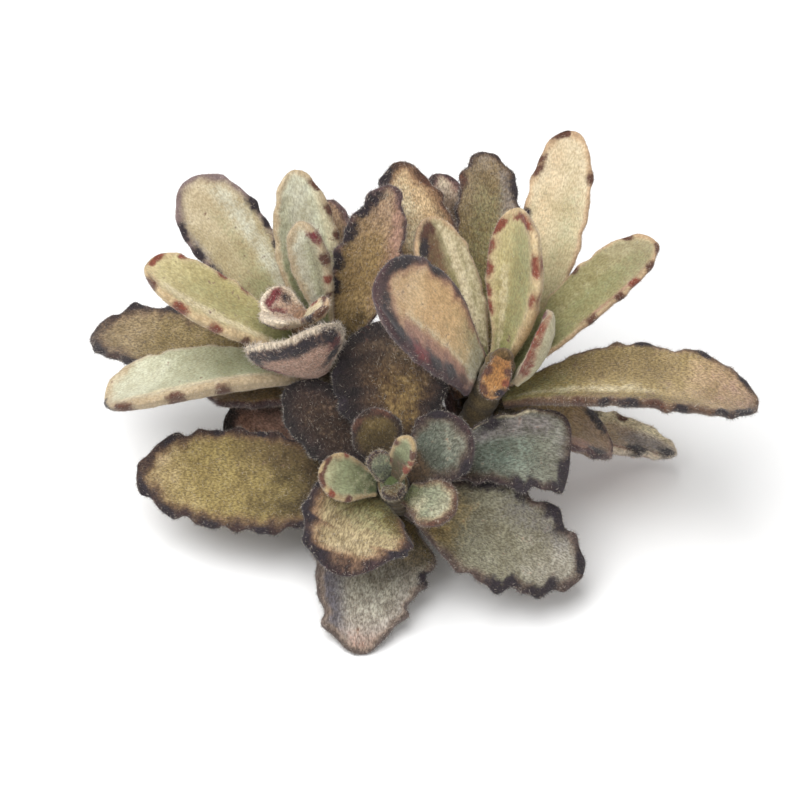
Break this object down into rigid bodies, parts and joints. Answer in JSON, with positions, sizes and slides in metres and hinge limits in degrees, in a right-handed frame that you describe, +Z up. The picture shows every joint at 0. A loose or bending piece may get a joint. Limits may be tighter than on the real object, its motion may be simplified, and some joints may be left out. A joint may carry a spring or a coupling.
{
  "type": "panda plant",
  "caption": "Felted succulent clump of leaf rosettes on a short branching stem cut at the foot, with thick channelled leaves, toothed margins and a flat cut face to rest on.",
  "frame": {"origin": "middle of the footprint box, on the surface that the clump rests on", "axes": "+Z up, +X towards the right rosette, -Y towards the low front rosette"},
  "size_m": [0.1442, 0.1006, 0.0729],
  "materials": {
    "felt_olive": "dense short felt of pale hairs over olive skin, plum-brown margin",
    "felt_green": "dense short felt of pale hairs over green skin, cream rim with rust spots",
    "felt_pale": "dense white felt over pale green skin, cream rim with rust and plum spots",
    "felt_blue": "dense grey felt over blue-green skin, dark plum margin",
    "felt_tan": "dense cream felt over tan skin, plum and crimson spots on the rim",
    "felt_dusky": "short felt over dark olive-brown skin, wide charcoal-plum margin",
    "stem_felt": "brownish felted stem, dry pale cut face"
  },
  "bodies": {
    "root": {"stem": "stem_felt", "front_1": "felt_olive", "front_2": "felt_blue", "front_3": "felt_tan", "front_4": "felt_blue", "front_5": "felt_pale", "front_6": "felt_green", "front_7": "felt_olive", "front_8": "felt_blue", "front_9": "felt_blue", "front_10": "felt_dusky", "front_11": "felt_dusky", "front_12": "felt_dusky", "left_1": "felt_green", "left_2": "felt_pale", "left_3": "felt_olive", "left_4": "felt_pale", "left_5": "felt_green", "left_6": "felt_olive", "left_7": "felt_pale", "left_8": "felt_dusky", "left_9": "felt_tan", "left_10": "felt_olive", "left_11": "felt_olive", "left_12": "felt_olive", "right_1": "felt_tan", "right_2": "felt_dusky", "right_3": "felt_olive", "right_4": "felt_pale", "right_5": "felt_green", "right_6": "felt_pale", "right_7": "felt_green", "right_8": "felt_pale", "right_9": "felt_tan", "right_10": "felt_olive", "right_11": "felt_tan", "right_12": "felt_olive", "right_13": "felt_olive", "right_14": "felt_olive", "left_bud": "felt_pale", "right_bud": "felt_pale", "front_bud": "felt_pale"}
  },
  "joints": []
}
